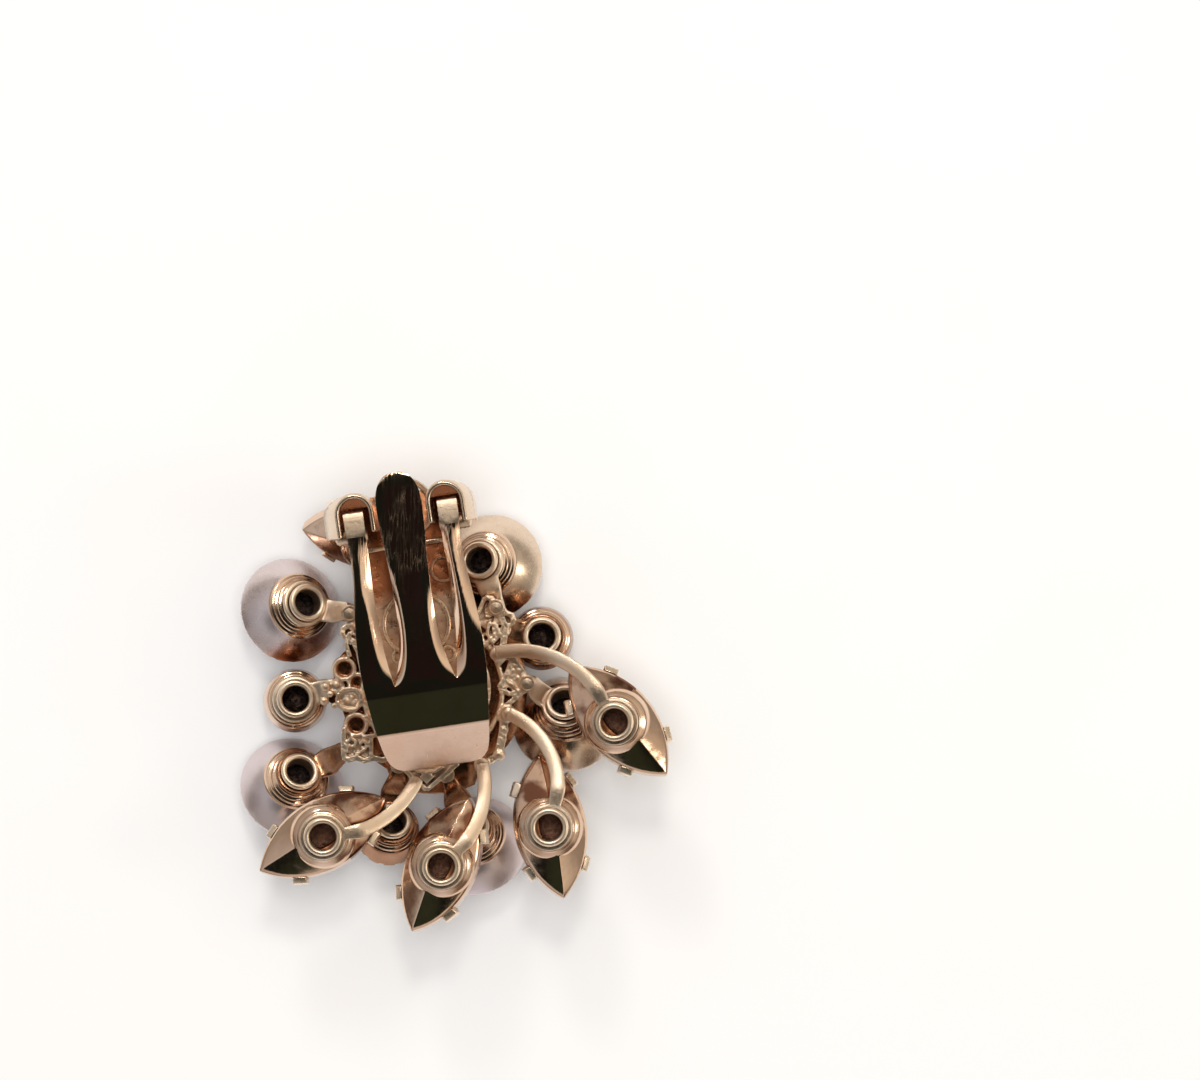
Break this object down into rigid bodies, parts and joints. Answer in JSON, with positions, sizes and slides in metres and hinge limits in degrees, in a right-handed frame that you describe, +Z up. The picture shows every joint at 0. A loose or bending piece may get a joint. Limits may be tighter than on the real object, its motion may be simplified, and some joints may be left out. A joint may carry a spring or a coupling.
{
  "type": "clip-on earring",
  "caption": "Clip-on earring: boat-shaped and round stone settings clustered on a pierced base, with a hinged spring clip on the back that holds the ear lobe.",
  "frame": {"origin": "middle of the outline's bounding box, on the floor that the large stones lie on", "axes": "+Z up from the floor towards the clip on the back; +Y towards the hinge end of the clip; +X to the right when the back is seen with the hinge at the top"},
  "size_m": [0.033, 0.0346, 0.0135],
  "materials": {
    "metal": "rose-gold plated, polished",
    "milky_stone": "smooth, milky",
    "smoky_stone": "faceted, smoky",
    "clear_stone": "faceted, clear"
  },
  "bodies": {
    "earring": {"filigree_base": "metal", "clip_base": "metal", "dome_rivets": "metal", "centre_cup": "metal", "centre_stone": "milky_stone", "centre_eyelet": "metal", "navette_cup_1": "metal", "navette_stone_1": "smoky_stone", "navette_eyelet_1": "metal", "navette_arm_1": "metal", "large_cup_1": "metal", "large_stone_1": "milky_stone", "large_eyelet_1": "metal", "large_strip_1": "metal", "navette_cup_2": "metal", "navette_stone_2": "smoky_stone", "navette_eyelet_2": "metal", "navette_arm_2": "metal", "large_cup_2": "metal", "large_stone_2": "milky_stone", "large_eyelet_2": "metal", "large_strip_2": "metal", "navette_cup_3": "metal", "navette_stone_3": "smoky_stone", "navette_eyelet_3": "metal", "navette_arm_3": "metal", "large_cup_3": "metal", "large_stone_3": "milky_stone", "large_eyelet_3": "metal", "large_strip_3": "metal", "navette_cup_4": "metal", "navette_stone_4": "smoky_stone", "navette_eyelet_4": "metal", "navette_arm_4": "metal", "large_cup_4": "metal", "large_stone_4": "milky_stone", "large_eyelet_4": "metal", "large_strip_4": "metal", "navette_cup_5": "metal", "navette_stone_5": "smoky_stone", "navette_eyelet_5": "metal", "navette_arm_5": "metal", "large_cup_5": "metal", "large_stone_5": "milky_stone", "large_eyelet_5": "metal", "large_strip_5": "metal", "small_cup_1": "metal", "small_stone_1": "clear_stone", "small_eyelet_1": "metal", "small_strip_1": "metal", "small_cup_2": "metal", "small_stone_2": "clear_stone", "small_eyelet_2": "metal", "small_strip_2": "metal", "small_cup_3": "metal", "small_stone_3": "clear_stone", "small_eyelet_3": "metal", "small_strip_3": "metal"},
    "paddle": {"clip_paddle": "metal"}
  },
  "joints": [
    {"name": "clip_hinge", "type": "hinge", "parent": "earring", "child": "paddle", "pos_m": [-0.0035, 0.01307, 0.012], "axis": [-0.989, -0.1478, 0], "range_deg": [0, 75]}
  ]
}
